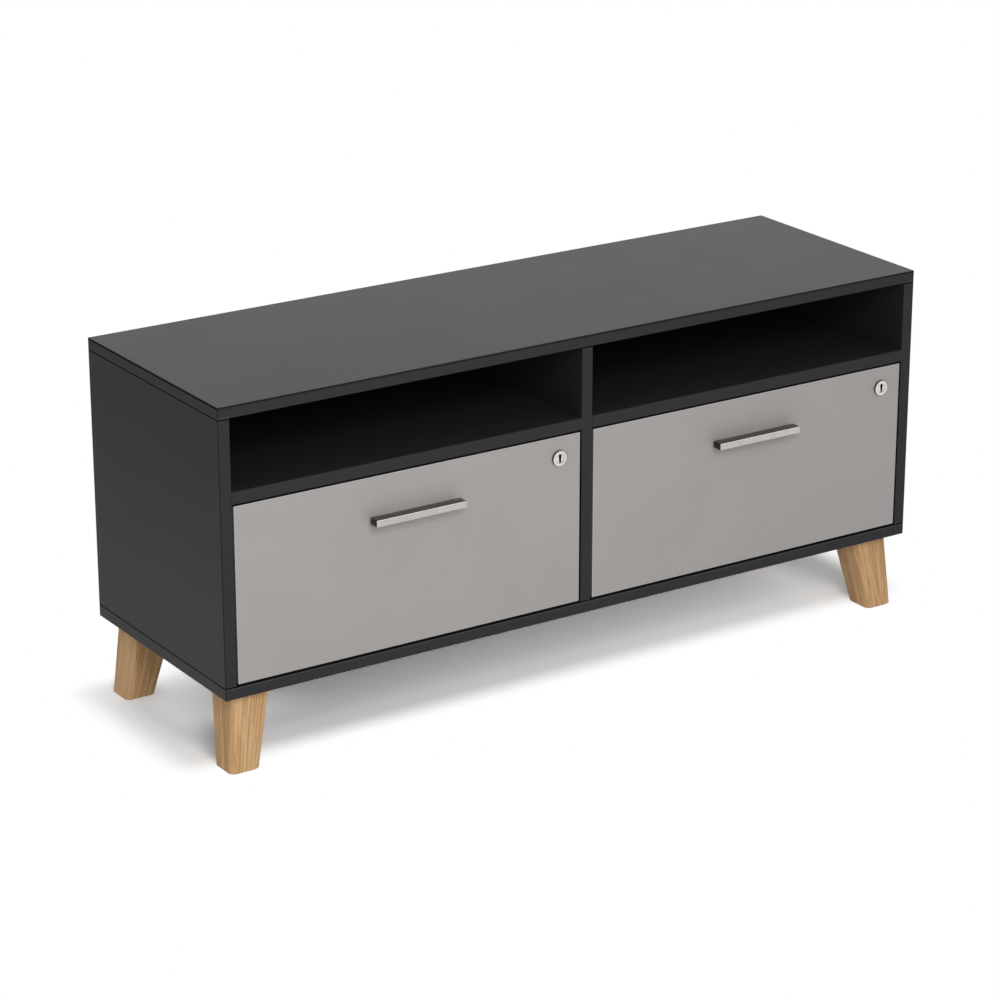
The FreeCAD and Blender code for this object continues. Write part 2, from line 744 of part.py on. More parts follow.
def strike(side):
    """Steel angle under the shelf that the turned-up cam hooks behind, with screws and drillings."""
    centre = lock_centre(side)
    xs = about(centre.x, strike_width)
    foot_ys = (strike_y, strike_y + strike_foot)
    foot = block(xs, foot_ys, (shelf_underside - strike_thickness, shelf_underside))
    lug_ys = (strike_y, strike_y + strike_thickness)
    lug = block(xs, lug_ys, (shelf_underside - strike_drop, shelf_underside))
    screw_y = strike_y + strike_thickness + (strike_foot - strike_thickness) / 2
    screws = []
    drillings = []
    for x in about(centre.x, strike_screw_spacing):
        point = FreeCAD.Vector(x, screw_y, shelf_underside - strike_thickness)
        screws.append(pan_screw(point, Z, screw_radius, strike_screw_length, *screw_head))
        drillings.append(plain_hole(point, Z, screw_radius, strike_screw_length))
    angle = foot.fuse(lug).removeSplitter().cut(drillings)
    return angle, screws, drillings


def drawer(side):
    """All pieces of one drawer that are fixed to each other."""
    low_x, high_x = bays[side]
    box_low_x, box_high_x = box_limits(side)
    inner_xs = (box_low_x + box_thickness, box_high_x - box_thickness)
    dowels, dowel_tools = box_dowels(side)
    screws, screw_tools = box_screws(side)
    pulls, pull_tools = handle_screws(side)
    lock_hole = plain_hole(lock_centre(side), Y, lock_barrel_radius, board)
    tools = dowel_tools + screw_tools + pull_tools
    channels = []
    for wall_side, wall_x, sign in runner_sides():
        if wall_side == side:
            runner_screws, runner_tools = drawer_runner_screws(wall_x, sign)
            channels.append(machined(drawer_channel(wall_x, sign), runner_tools))
            screws += runner_screws
            tools += runner_tools
    groove = bottom_panel_space(side, bottom_groove_depth)
    front_xs = (low_x + front_gap, high_x - front_gap)
    front = eased(block(front_xs, (front_y, front_rear_y), (front_low, front_high)), "xyz", front_ease)
    side_ys = (front_rear_y, box_rear_y)
    side_zs = (box_low, box_high)
    side_left = block((box_low_x, inner_xs[0]), side_ys, side_zs)
    side_right = block((inner_xs[1], box_high_x), side_ys, side_zs)
    box_back = block(inner_xs, (box_rear_y - box_thickness, box_rear_y), (bottom_high, box_high))
    name = side + "_drawer_"
    return {
        name + "front": machined(front, tools + [groove, lock_hole]),
        name + "box_side_left": machined(side_left, tools + [groove]),
        name + "box_side_right": machined(side_right, tools + [groove]),
        name + "box_back": machined(box_back, tools),
        name + "bottom": machined(bottom_panel_space(side, bottom_groove_depth - groove_relief), tools),
        name + "box_dowels": Part.makeCompound(dowels),
        name + "wood_screws": Part.makeCompound(screws),
        name + "handle": handle(side),
        name + "handle_screws": Part.makeCompound(pulls),
        name + "lock_barrel": lock_barrel(side),
        name + "lock_nut": lock_nut(side),
        name + "runner_channels": Part.makeCompound(channels)}


def moving_pieces(side):
    """Lock pieces that turn and runner pieces that slide at their own rate."""
    middle = []
    outer_cages = []
    inner_cages = []
    outer_sizes = (outer_cage_start, outer_cage_reach, outer_row, outer_ball_offset)
    inner_sizes = (inner_cage_start, inner_cage_reach, inner_row, inner_ball_offset)
    for wall_side, wall_x, sign in runner_sides():
        if wall_side == side:
            middle.append(runner_channel(wall_x, sign, middle_start, middle_reach, middle_half))
            outer_cages += ball_cage(wall_x, sign, *outer_sizes)
            inner_cages += ball_cage(wall_x, sign, *inner_sizes)
    return {
        side + "_lock_plug": lock_plug(side),
        side + "_lock_cam": lock_cam(side),
        side + "_lock_cam_screw": cam_screw(side),
        side + "_runner_middle_channels": Part.makeCompound(middle),
        side + "_runner_outer_ball_cages": Part.makeCompound(outer_cages),
        side + "_runner_inner_ball_cages": Part.makeCompound(inner_cages)}


def cabinet():
    """All pieces that stand still: boards, legs, fixings, strikes and wall channels."""
    joints = board_joints()
    legs = leg_fixings()
    strikes = [strike(side) for side in bays]
    back_points = back_screw_points()
    back_sizes = (screw_radius, back_screw_length, *screw_head)
    back_screws = [pan_screw(point, -Y, *back_sizes) for point in back_points]
    back_tools = [plain_hole(point, -Y, screw_radius, back_screw_length) for point in back_points]
    wall_channels = []
    wall_screws = []
    wall_tools = []
    for side, wall_x, sign in runner_sides():
        screws, tools = cabinet_screws(wall_x, sign)
        channel = runner_channel(wall_x, sign, 0, outer_reach, outer_half)
        wall_channels.append(machined(channel, tools))
        wall_screws += screws
        wall_tools += tools
    drillings = joints["drillings"] + legs["drillings"] + back_tools + wall_tools
    for angle, screws, tools in strikes:
        drillings += tools
    pieces = carcass_boards(drillings)
    pieces["back_panel"] = back_panel(back_tools)
    for name, place in leg_places().items():
        pieces[name] = leg(place, legs["drillings"])
    groups = {
        "back_panel_screws": back_screws,
        "carcass_dowels": joints["dowels"],
        "cam_bolts": joints["bolts"],
        "cam_discs": joints["discs"],
        "cam_covers": joints["covers"],
        "leg_bolts": legs["bolts"],
        "leg_inserts": legs["inserts"],
        "leg_dowels": legs["dowels"],
        "lock_strikes": [angle for angle, screws, tools in strikes],
        "strike_screws": [screw for angle, screws, tools in strikes for screw in screws],
        "runner_wall_channels": wall_channels,
        "runner_wall_screws": wall_screws}
    for name, solids in groups.items():
        pieces[name] = Part.makeCompound(solids)
    return pieces


def build():
    """Every node of the credenza by name."""
    pieces = cabinet()
    for side in bays:
        pieces.update(drawer(side))
        pieces.update(moving_pieces(side))
    return pieces


os.makedirs("parts", exist_ok=True)
for node, shape in build().items():
    shape.exportStep("parts/" + node + ".step")
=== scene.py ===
import logging
import math
from dataclasses import dataclass
from enum import Enum
from functools import cache, reduce

import bpy
import numpy as np
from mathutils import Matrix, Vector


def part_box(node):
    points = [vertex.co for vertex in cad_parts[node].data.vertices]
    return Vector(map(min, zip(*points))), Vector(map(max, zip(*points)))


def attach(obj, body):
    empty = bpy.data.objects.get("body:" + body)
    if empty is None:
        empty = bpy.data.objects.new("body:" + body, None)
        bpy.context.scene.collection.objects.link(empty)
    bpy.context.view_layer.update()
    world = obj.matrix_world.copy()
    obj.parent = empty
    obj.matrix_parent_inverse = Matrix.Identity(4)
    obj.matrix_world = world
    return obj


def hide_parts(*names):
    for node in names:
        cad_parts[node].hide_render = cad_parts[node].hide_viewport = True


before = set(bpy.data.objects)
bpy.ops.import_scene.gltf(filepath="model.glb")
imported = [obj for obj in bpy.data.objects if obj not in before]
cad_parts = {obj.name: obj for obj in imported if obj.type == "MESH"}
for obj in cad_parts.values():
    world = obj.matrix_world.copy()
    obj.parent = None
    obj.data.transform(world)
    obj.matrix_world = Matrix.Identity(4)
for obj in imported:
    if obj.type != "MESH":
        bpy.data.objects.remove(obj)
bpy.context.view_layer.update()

# Looks of a low office credenza: graphite boards, two grey drawers and four splayed oak legs.
# Metres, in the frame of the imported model: +Z up, the front towards -Y, the floor at zero.

Colour = tuple[float, float, float]
Place = tuple[float, float, float]
Span = tuple[float, float]
Faces = list[tuple[int, ...]]
Array = np.ndarray
Socket = bpy.types.NodeSocket
Material = bpy.types.Material
Piece = bpy.types.Object

LOG = logging.getLogger("credenza")
WHITE: Colour = (1.0, 1.0, 1.0)
MIDDLE: Span = (0.3, 0.7)  # Range that holds most of a noise's values.
BLUR = 0.0002  # Width of the border between two parts of a finish.
FRAY = 0.15  # Share of a band's half width by which its edges fade, both ways.
SHARP_DEGREES = 35.0  # Edges that turn by more than this stay sharp.


class Side(Enum):
    """The two halves of the credenza, by the names that its nodes carry."""

    LEFT = "left"
    RIGHT = "right"


class Slot(Enum):
    """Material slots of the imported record."""

    GRAPHITE = "graphite_board"
    GREY = "grey_board"
    BACK = "back_board"
    BOX = "box_board"
    OAK = "oak"
    DOWEL = "dowel_wood"
    COVER = "cover_plastic"
    NICKEL = "brushed_nickel"
    CHROME = "lock_chrome"
    RUNNER = "runner_steel"
    ZINC = "zinc_steel"


# ---------- node graphs


@dataclass(frozen=True)
class Pattern:
    """A cloud-like noise with values from nought to one."""

    scale: float  # Features per unit of the stretched coordinates.
    detail: float = 3  # Number of finer layers.
    roughness: float = 0.55  # Weight of the finer layers.
    distortion: float = 0  # Amount of swirl.
    stretch: Place = (1, 1, 1)  # Factor on the coordinates along each axis.
    attribute: str = ""  # Point attribute that it reads, or none for Object coordinates.


class Graph:
    """Node tree of one material or world, with short ways to add and join its nodes."""

    def __init__(self, owner: Material | bpy.types.World) -> None:
        """Empties the tree.

        Args:
            owner: Material or world that it belongs to.
        """
        owner.use_nodes = True
        self.tree = owner.node_tree
        self.tree.nodes.clear()

    def add(self, kind: str, inputs: dict | None = None, **settings: object) -> bpy.types.Node:
        """Adds a node.

        Args:
            kind: Type of the node without its ShaderNode prefix.
            inputs: Value, or socket to join, for each input by its name or number.
            **settings: Properties of the node.

        Returns:
            The new node.
        """
        node = self.tree.nodes.new("ShaderNode" + kind)
        for key, value in settings.items():
            setattr(node, key, value)
        for key, value in (inputs or {}).items():
            socket = node.inputs[key]
            if isinstance(value, Socket):
                self.tree.links.new(value, socket)
            else:
                socket.default_value = (*value, 1) if socket.type == "RGBA" else value
        return node

    def place(self) -> Socket:
        """Object coordinates."""
        return self.add("TexCoord").outputs["Object"]

    def axes(self) -> tuple[Socket, ...]:
        """Object coordinates, as one value for each axis."""
        return tuple(self.add("SeparateXYZ", {0: self.place()}).outputs)

    def noise(self, pattern: Pattern) -> Socket:
        """Value of a pattern.

        Args:
            pattern: The pattern.

        Returns:
            The value socket.
        """
        source = self.place() if not pattern.attribute else self.add(
            "Attribute", attribute_name=pattern.attribute).outputs["Vector"]
        space = self.add("Mapping", {"Vector": source, "Scale": pattern.stretch})
        return self.add("TexNoise", {
            "Vector": space.outputs["Vector"], "Scale": pattern.scale, "Detail": pattern.detail,
            "Roughness": pattern.roughness, "Distortion": pattern.distortion}).outputs["Fac"]

    def remap(self, value: Socket, source: Span, target: Span = (0, 1)) -> Socket:
        """A value carried smoothly from a source range to a target range, clamped at its ends."""
        inputs = {"Value": value, "From Min": source[0], "From Max": source[1],
                  "To Min": target[0], "To Max": target[1]}
        return self.add("MapRange", inputs, interpolation_type="SMOOTHSTEP").outputs["Result"]

    def fold(self, operation: str, *values: object) -> Socket:
        """Result of an arithmetic step, such as MULTIPLY, taken from each value to the next."""
        return reduce(lambda first, second: self.add(
            "Math", {0: first, 1: second}, operation=operation).outputs[0], values)

    def product(self, *values: object) -> Socket:
        """Product of values or sockets."""
        return self.fold("MULTIPLY", *values)

    def total(self, *values: object) -> Socket:
        """Sum of values or sockets."""
        return self.fold("ADD", *values)

    def less(self, first: object, second: object) -> Socket:
        """First value or socket less the second."""
        return self.fold("SUBTRACT", first, second)

    def most(self, *values: object) -> Socket:
        """Greatest of values or sockets."""
        return self.fold("MAXIMUM", *values)

    def absolute(self, value: Socket) -> Socket:
        """A value without its sign."""
        return self.fold("ABSOLUTE", value, 0)

    def length(self, *parts: Socket) -> Socket:
        """Length of the vector that has these parts."""
        return self.fold("SQRT", self.total(*(self.fold("POWER", part, 2) for part in parts)), 0)

    def mean(self, share: float, first: Socket, second: Socket) -> Socket:
        """Mean of two values, with a share for the first and the rest for the second."""
        return self.total(self.product(first, share), self.product(second, 1 - share))

    def near(self, value: Socket, level: float, half: float) -> Socket:
        """One within half a band's width of a level, and nought outside its frayed edges."""
        distance = self.absolute(self.less(value, level))
        return self.remap(distance, (half * (1 + FRAY), half * (1 - FRAY)))

    def blend(self, share: Socket, low: object, high: object) -> Socket:
        """Mix of two colours or sockets, by how much of the second shows."""
        return self.add("Mix", {0: share, 6: low, 7: high}, data_type="RGBA").outputs[2]

    def relief(self, height: Socket, depth: float, strength: float) -> Socket:
        """Normal of a relief, by what a height of one means in metres and the share that shows."""
        inputs = {"Height": height, "Distance": depth, "Strength": strength}
        return self.add("Bump", inputs).outputs["Normal"]


def tinted(colour: Colour, factor: float) -> Colour:
    """A colour made lighter or darker by a factor."""
    return tuple(channel * factor for channel in colour)


# ---------- finishes


@dataclass(frozen=True)
class Finish:
    """Finish whose tone, roughness and relief follow a fine grain over a slow drift."""

    name: str  # Name of the material.
    colour: Colour  # Linear colour.
    roughness: float = 0.5  # Middle of its roughness.
    gloss: float = 0.5  # Specular level.
    shades: Span = (0.92, 1.08)  # Factors on the colour where the tone is low and high.
    tones: Span = MIDDLE  # What counts as low and as high.
    wear: Span = (0.06, 0.08)  # How far the roughness falls and rises.
    grain: Pattern = Pattern(1600, 2)  # The fine pattern.
    drift: Pattern = Pattern(70, 2)  # The slow one.
    grain_share: float = 0.6  # Weight of the grain beside the drift in the tone.
    metallic: float = 0.0  # One for metal and nought for anything else.
    depth: float = 0.00001  # Depth of the grain in the surface, in metres.
    relief: float = 0.5  # Share of that depth that shows.

    def values(self, graph: Graph) -> tuple[Socket, Socket, Socket]:
        """Values that the tone, the roughness and the relief follow."""
        grain = graph.noise(self.grain)
        return graph.mean(self.grain_share, grain, graph.noise(self.drift)), grain, grain

    def worn(self, graph: Graph, value: Socket) -> Socket:
        """Roughness that grows with a value."""
        fall, rise = self.wear
        return graph.remap(value, MIDDLE, (self.roughness - fall, self.roughness + rise))

    def decorated(self, graph: Graph, base: Socket, rough: Socket) -> tuple[Socket, Socket]:
        """Colour and roughness with what lies over them, which is nothing on a plain finish."""
        return base, rough

    def inputs(self, graph: Graph) -> dict[str, object]:
        """What the finish gives to the shader.

        Args:
            graph: Graph of the material.

        Returns:
            Values or sockets of the shader's inputs.
        """
        tone, worn, height = self.values(graph)
        low, high = (tinted(self.colour, factor) for factor in self.shades)
        base = graph.blend(graph.remap(tone, self.tones), low, high)
        base, rough = self.decorated(graph, base, self.worn(graph, worn))
        return {"Base Color": base, "Roughness": rough, "Metallic": self.metallic,
                "Normal": graph.relief(height, self.depth, self.relief)}

    @cache
    def material(self) -> Material:
        """Material of the finish, built at its first use.

        Returns:
            The material, closed with a Principled shader.
        """
        material = bpy.data.materials.new(self.name)
        graph = Graph(material)
        inputs = {"Specular IOR Level": self.gloss, **self.inputs(graph)}
        shader = graph.add("BsdfPrincipled", inputs)
        graph.add("OutputMaterial", {"Surface": shader.outputs[0]})
        return material


@dataclass(frozen=True)
class MelamineFinish(Finish):
    """Matt printed board paper with soft clouds, fine specks and a pressed pearl texture."""

    shades: Span = (0.97, 1.03)
    wear: Span = (0.012, 0.012)
    grain: Pattern = Pattern(420, 4, 0.7)
    drift: Pattern = Pattern(7)
    grain_share: float = 0.3
    depth: float = 0.00006
    handled: Pattern = Pattern(2.5, 4, stretch=(3, 3, 9))  # Pattern of the roughness.
    pearl: Pattern = Pattern(1100, 2, 0.5)  # Pattern of the pressed texture.

    def values(self, graph: Graph) -> tuple[Socket, Socket, Socket]:
        """Values that the tone, the roughness and the relief follow."""
        tone = super().values(graph)[0]
        return tone, graph.noise(self.handled), graph.noise(self.pearl)


@dataclass(frozen=True)
class CarcassFinish(MelamineFinish):
    """Melamine of the cabinet's boards, with edge bands, painted shade in the joints and round the
    drawers, painted light on the ends, painted highlights on lit arrises and a smoother worktop
    with a painted sheen.
    """

    band: Colour = (0.0310, 0.0304, 0.0342)  # Linear colour of the edge bands on the front edges.
    band_depth: Span = (0.0012, 0.0008)  # Depths between which the front's and ends' colours end.
    outer: Colour = (0.0430, 0.0418, 0.0418)  # Linear colour of the cabinet's two ends: painted light, paler than the same boards elsewhere.
    outer_painted_gradient: float = 0.3  # Share of a painted gradient of light on the ends: paler at the foot, darker above.
    worktop: Colour = (0.0305, 0.0270, 0.0325)  # Linear colour of the top's upper face, paler than the boards: a painted sheen.
    worktop_depth: Span = (0.0004, 0.0001)  # Depths below that face between which its colour ends.
    worktop_roughness: float = 0.29  # Roughness of that face.
    line: float = 0.1  # Share of the colour that is left in a joint line: painted shade in the groove between boards.
    line_half: float = 0.0010  # Half of a line's width.
    rim: Span = (1.6, 1.4)  # Depth and half width of the painted shade line under the top's face, by line_half.
    rim_share: float = 0.65  # Share of that line that shows in front.
    corner_share: float = 0.6  # Share of a painted shade line that shows down the cabinet's front corners.
    glint: float = 1.7  # Factor on the colour of the thin lit arris beside a joint in front.
    bay: float = 0.25  # Share of the colour that is left on the faces round the drawers: painted shade.

    def decorated(self, graph: Graph, base: Socket, rough: Socket) -> tuple[Socket, Socket]:
        """Colour and roughness with bands, painted shade lines and bays, painted light on the
        ends, painted highlights and the smoother worktop with its painted sheen.

        Args:
            graph: Graph of the material.
            base: Colour of the boards' paper.
            rough: Its roughness.

        Returns:
            The colour and the roughness.
        """
        (_, front, foot), (_, _, lower_joint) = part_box("base_panel")
        (_, _, upper_joint), (side, _, crown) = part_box("top_panel")
        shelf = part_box("left_shelf")[0][2]
        post = side - (crown - upper_joint)
        half = self.line_half
        x, depth, height = graph.axes()
        across = graph.absolute(x)
        in_front = graph.remap(depth, tuple(front + inner for inner in self.band_depth))
        outside = graph.remap(across, tuple(side - inner for inner in self.band_depth))
        on_top = graph.remap(height, tuple(crown - inner for inner in self.worktop_depth))
        on_post = graph.remap(across, (post - BLUR, post))
        # Painted light: the ends paler than the other boards, and paler still towards the foot.
        painted_end_light = graph.blend(graph.remap(height, (foot, crown)),
                            tinted(self.outer, 1 + self.outer_painted_gradient),
                            tinted(self.outer, 1 - self.outer_painted_gradient))
        # Painted shade on the faces round the drawers.
        shaded_bay = graph.near(height, (lower_joint + shelf) / 2, (shelf - lower_joint) / 2)
        base = graph.blend(shaded_bay, base, tinted(self.colour, self.bay))
        base = graph.blend(outside, base, painted_end_light)
        base = graph.blend(in_front, base, self.band)
        lit = graph.most(
            graph.product(graph.near(height, upper_joint + 2 * half, half), on_post),
            graph.near(height, lower_joint - 2 * half, half))
        base = graph.blend(graph.product(lit, in_front), base, tinted(self.band, self.glint))
        # Painted shade: dark lines in the joints between boards, under the top's face and down the
        # front corners.
        rim = graph.product(graph.near(height, crown - self.rim[0] * half, self.rim[1] * half),
                            graph.remap(outside, (0, 1), (self.rim_share, 1)))
        seam_shade = (graph.near(height, joint, half) for joint in (lower_joint, upper_joint))
        lines = graph.product(graph.most(*seam_shade, rim), graph.most(in_front, outside))
        lines = graph.most(lines, graph.product(in_front, outside, self.corner_share))
        base = graph.blend(lines, base, tinted(self.colour, self.line))
        # Painted sheen: the top's upper face paler than the other faces.
        base = graph.blend(on_top, base, self.worktop)
        fall = graph.product(on_top, self.roughness - self.worktop_roughness)
        return base, graph.most(graph.less(rough, fall), lines)


@dataclass(frozen=True)
class FrontFinish(MelamineFinish):
    """Melamine of the two drawer fronts, whose four edges behind the face carry painted shade for
    the dark gaps, with a painted highlight on the front arris.
    """

    band: Colour = (0.029, 0.0285, 0.032)  # Linear colour of that painted shade on the edges, which darkens the gaps round the drawer.
    cover: float = 0.0003  # How thick the band is taken to be where it is looked for.
    bare: float = 0.0010  # Depth behind the face in which its colour stays.
    end_share: float = 0.55  # How much of that painted shade shows on the two ends.
    arris: Span = (0.5, 0.4)  # Middle and half width of the lit arris, by that depth.
    glint: float = 1.65  # Factor on its colour.

    def decorated(self, graph: Graph, base: Socket, rough: Socket) -> tuple[Socket, Socket]:
        """Colour and roughness with painted shade on the edges behind the front arris, and a
        painted highlight on the arris.

        Args:
            graph: Graph of the material.
            base: Colour of the board's paper.
            rough: Its roughness.

        Returns:
            The colour and the roughness.
        """
        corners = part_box("right_drawer_front")
        front = corners[0][1]
        x, depth, height = graph.axes()
        across = graph.absolute(x)
        # Painted shade on the edges behind the face, where the gaps round the drawer fall dark.
        ends = graph.most(*(graph.near(across, corner[0], self.cover) for corner in corners))
        long_edges = (graph.near(height, corner[2], self.cover) for corner in corners)
        edge = graph.most(graph.product(ends, self.end_share), *long_edges)
        behind = graph.remap(depth, (front + self.bare - BLUR, front + self.bare))
        # Painted highlight on the front arris.
        middle, half = (share * self.bare for share in self.arris)
        arris = graph.near(depth, front + middle, half)
        base = graph.blend(arris, base, tinted(self.colour, self.glint))
        return graph.blend(graph.product(edge, behind), base, self.band), rough


@dataclass(frozen=True)
class OakFinish(Finish):
    """Solid oak under matt lacquer: year rings, medullary flecks and dark open pores."""

    roughness: float = 0.66
    gloss: float = 0.07
    tones: Span = (0.42, 0.58)
    wear: Span = (0.06, 0.06)
    depth: float = 0.00018
    deep: Colour = (0.485, 0.284, 0.129)  # Linear colour of the late wood.
    pore: Colour = (0.24, 0.125, 0.052)  # Linear colour in the open pores.
    along: str = ""  # Attribute whose third part runs along the wood, or none.

    def inputs(self, graph: Graph) -> dict[str, object]:
        """What the finish gives to the shader.

        Args:
            graph: Graph of the material.

        Returns:
            Values or sockets of the shader's inputs.
        """
        bend, rings, streaks, pores = (graph.noise(Pattern(1, *shape, self.along)) for shape in (
            (3, 0.5, 0, (9, 9, 2.2)), (3, 0.5, 0.6, (150, 62, 5)),
            (3, 0.6, 0, (620, 620, 13)), (2, 0.5, 0, (980, 980, 34))))
        tone = graph.mean(0.4, rings, streaks)
        base = graph.blend(graph.remap(tone, self.tones), self.colour, self.deep)
        base = graph.blend(graph.remap(bend, (0.35, 0.75), (0, 0.3)), base, self.deep)
        open_pores = graph.remap(pores, (0.60, 0.70), (0, 0.6))
        base = graph.blend(open_pores, base, self.pore)
        height = graph.less(streaks, open_pores)
        return {"Base Color": base, "Roughness": self.worn(graph, streaks),
                "Normal": graph.relief(height, self.depth, self.relief)}


@dataclass(frozen=True)
class HardboardFinish(Finish):
    """Thin pressed-fibre board, lacquered dark, with fibres that lie every way."""

    roughness: float = 0.62
    gloss: float = 0.25
    shades: Span = (0.86, 1.16)
    tones: Span = (0.32, 0.68)
    wear: Span = (0, 0.13)
    grain: Pattern = Pattern(260, 6, 0.75, 2)
    drift: Pattern = Pattern(5, 2)
    depth: float = 0.00015


@dataclass(frozen=True)
class PlasticFinish(Finish):
    """Moulded plastic with an eroded, slightly uneven skin."""

    wear: Span = (0.05, 0.08)
    grain_share: float = 0.0
    depth: float = 0.00003


class Brushing(Enum):
    """Which way the fine scratches of a metal run."""

    ALONG_X = Pattern(1, 5, 0.65, stretch=(5.0, 900.0, 900.0))
    NONE = Pattern(1, 5, 0.65, stretch=(240.0, 240.0, 240.0))


@dataclass(frozen=True)
class MetalFinish(Finish):
    """Metal with fine brushing or a rolled, slightly mottled skin."""

    grain: Pattern = Brushing.NONE.value
    drift: Pattern = Pattern(60)
    metallic: float = 1.0
    relief: float = 0.4


@dataclass(frozen=True)
class TurnedFinish(MetalFinish):
    """Nickel plate over a turned face, its fine lines running round the axis.

    The lines read a piece's own turned attribute: radius, depth and angle about its axis.
    """

    shades: Span = (0.86, 1.1)
    wear: Span = (0.06, 0.1)
    grain: Pattern = Pattern(1, 2, 0.5, stretch=(5200, 900, 0.6), attribute="turned")
    drift: Pattern = Pattern(1, stretch=(160, 160, 1.3), attribute="turned")
    grain_share: float = 0.5
    depth: float = 0.00002


@dataclass(frozen=True)
class ZincFinish(MetalFinish):
    """Bright zinc plating with a fine spangle, and a drift in its roughness alone."""

    shades: Span = (0.88, 1.08)
    tones: Span = (0.1, 0.7)
    wear: Span = (0.08, 0.1)
    grain: Pattern = Pattern(260)
    drift: Pattern = Pattern(90, 4)
    relief: float = 0.3

    def values(self, graph: Graph) -> tuple[Socket, Socket, Socket]:
        """Distances to scattered points for the tone and the relief, and the drift for wear."""
        spangle = graph.add("TexVoronoi", {
            "Vector": graph.place(), "Scale": self.grain.scale}).outputs["Distance"]
        return spangle, graph.noise(self.drift), spangle


BEECH = OakFinish("dowel beech", (0.66, 0.50, 0.33), deep=(0.56, 0.39, 0.23),
                  pore=(0.42, 0.27, 0.15))
LEG_OAK = OakFinish("lacquered oak", (0.730, 0.474, 0.262), along="grain")
# Painted shade and highlight on the handle: sides and posts darker, ends near black, a bright
# upper front arris. The lock flange sides share the dark end finish.
BAR_SHADED_SIDE = MetalFinish("nickel painted shade side", (0.158, 0.145, 0.133), 0.36, shades=(0.88, 1.12),
                       grain=Brushing.ALONG_X.value)
BAR_SHADED_END = MetalFinish("nickel painted shade end", (0.062, 0.054, 0.047), 0.4)
BAR_HIGHLIGHT_ARRIS = MetalFinish("nickel painted highlight arris", (0.95, 0.93, 0.91), 0.2)
KEYWAY = PlasticFinish("keyway shadow", (0.003, 0.003, 0.003), 0.9, 0.05)
BY_SLOT: dict[Slot, Finish] = {
    Slot.GRAPHITE: CarcassFinish("graphite melamine", (0.0195, 0.0190, 0.0192), 0.62, 0.1,
                                 (0.98, 1.02)),
    Slot.GREY: FrontFinish("grey melamine", (0.376, 0.356, 0.349), 0.5, 0.25, (0.975, 1.025)),
    Slot.BACK: HardboardFinish("dark hardboard", (0.032, 0.032, 0.035)),
    Slot.BOX: MelamineFinish("drawer side melamine", (0.36, 0.345, 0.335), 0.5, 0.3),
    Slot.OAK: BEECH,
    Slot.DOWEL: BEECH,
    Slot.COVER: PlasticFinish("cover plastic", (0.0195, 0.0190, 0.0192), 0.62, 0.1),
    Slot.NICKEL: MetalFinish("brushed nickel", (0.52, 0.50, 0.48), 0.3, shades=(0.89, 1.11),
                             grain=Brushing.ALONG_X.value),
    Slot.CHROME: TurnedFinish("lock nickel", (0.72, 0.70, 0.67), 0.28),
    Slot.RUNNER: ZincFinish("runner zinc", (0.60, 0.61, 0.63), 0.38),
    Slot.ZINC: ZincFinish("screw zinc", (0.58, 0.57, 0.55), 0.34)}


# ---------- numpy surfaces


def rounded_rectangle(half: Array, radius: Array | float, steps: int) -> Array:
    """Outlines of rectangles with round corners, which follow each other by quarter turns.

    A point is the centre of its corner's arc, one radius in from both sides, plus the radius
    times the cosine and sine of its angle. Within a corner the angle grows evenly by a quarter
    turn, and straight runs join the corners.

    Args:
        half: Half of the two sides, for one rectangle or for each of a row.
        radius: Corner radius, for all or for each.
        steps: Points on each corner.

    Returns:
        Array of 4 x steps points by 2, or of rectangles by points by 2.
    """
    quarter = np.repeat(np.arange(4), steps) * math.pi / 2
    angle = quarter + np.tile(np.linspace(0, math.pi / 2, steps), 4)
    middle = quarter + math.pi / 4
    signs = np.sign(np.stack([np.cos(middle), np.sin(middle)], axis=1))
    turns = np.stack([np.cos(angle), np.sin(angle)], axis=1)
    radius = np.asarray(radius)[..., None, None]
    return signs * (np.asarray(half)[..., None, :] - radius) + radius * turns


def circle(radius: float, steps: int) -> Array:
    """Outline of a circle, with its point i at the angle (i + 1/2) / (4 x steps) of a turn."""
    angle = (np.arange(4 * steps) + 0.5) * (math.pi / 2 / steps)
    return np.stack([radius * np.cos(angle), radius * np.sin(angle)], axis=1)


def rings_at(outlines: Array, centre: tuple[object, ...], axes: list[int]) -> Array:
    """Rings in space, each an outline about its own centre.

    Args:
        outlines: Rings by points by 2, or one outline for all the rings.
        centre: Place of the centres along each axis: one for all the rings, or one for each.
        axes: Numbers of the two axes that the outlines lie along.

    Returns:
        Array of rings by points by 3.
    """
    centres = np.stack(np.broadcast_arrays(*centre), axis=-1)
    rings = np.repeat(centres[:, None], outlines.shape[-2], axis=1)
    rings[..., axes] += outlines
    return rings


